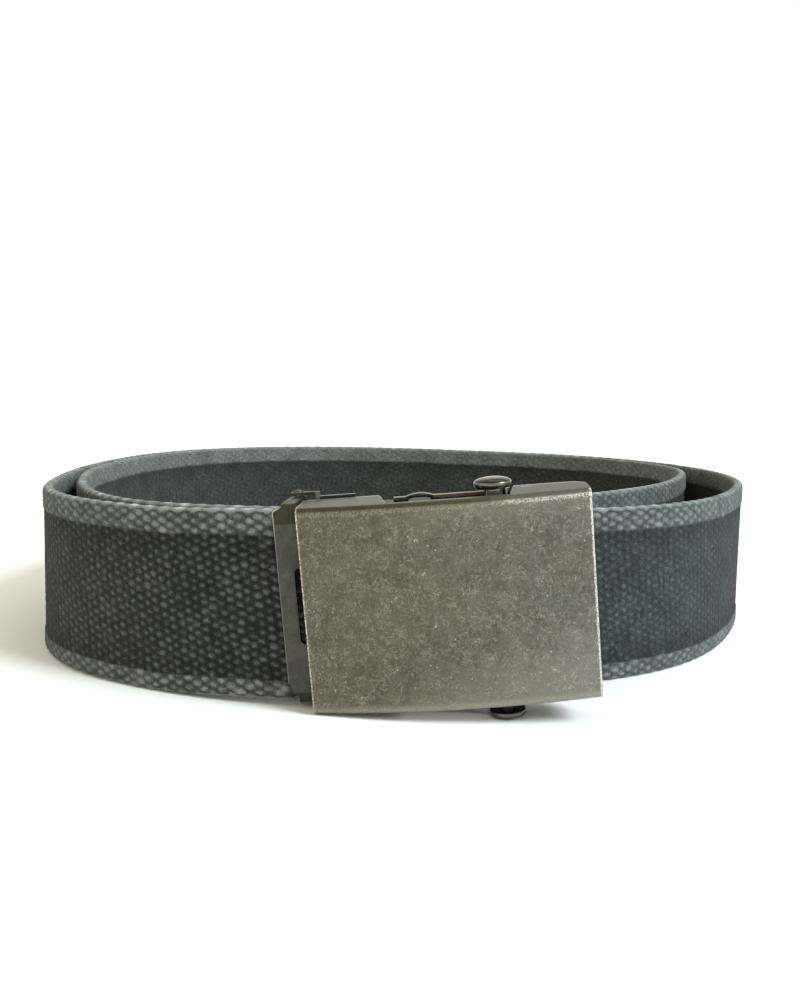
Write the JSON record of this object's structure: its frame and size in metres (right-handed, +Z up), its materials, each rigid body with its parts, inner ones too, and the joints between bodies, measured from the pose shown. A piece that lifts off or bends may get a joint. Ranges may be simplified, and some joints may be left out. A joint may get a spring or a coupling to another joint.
{
  "type": "tactical web belt",
  "caption": "Cotton web belt standing on its edge in loose turns, with an unfastened plate buckle: a strap clip hinged to the buckle, guide rails and a sliding lock roller.",
  "frame": {"origin": "centre of the footprint, on the surface the belt stands on", "axes": "+Z up along the strap's width, -Y towards the buckle's face, +X to the right as the buckle is seen from the front"},
  "size_m": [0.1876, 0.2164, 0.0466],
  "materials": {
    "webbing": "woven cotton, faded charcoal, paler and rougher along both edges",
    "plate_metal": "antiqued nickel plating, dull, with fine pale scratches",
    "clip_metal": "dark antiqued steel, smooth",
    "rail_metal": "copper-toned plating worn dark",
    "pin_metal": "dark antiqued steel",
    "roller_metal": "antiqued nickel, polished by wear at its heads"
  },
  "bodies": {
    "strap": {"webbing": "webbing", "strap_clip": "clip_metal", "hinge_pin_top": "pin_metal", "hinge_pin_bottom": "pin_metal"},
    "frame": {"buckle_frame": "plate_metal", "rail_top": "rail_metal", "rail_bottom": "rail_metal", "rail_rivet_top": "pin_metal", "rail_rivet_bottom": "pin_metal"},
    "roller": {"lock_roller": "roller_metal"}
  },
  "joints": [
    {"name": "frame_swing", "type": "hinge", "parent": "strap", "child": "frame", "pos_m": [-0.02156, -0.08937, 0.02022], "axis": [-0.0997, -0.0232, 0.9948], "range_deg": [-2.5, 14]},
    {"name": "roller_slide", "type": "slide", "parent": "frame", "child": "roller", "axis": [-0.9936, 0.0558, -0.0982], "range_m": [-0.0013, 0.018]}
  ]
}
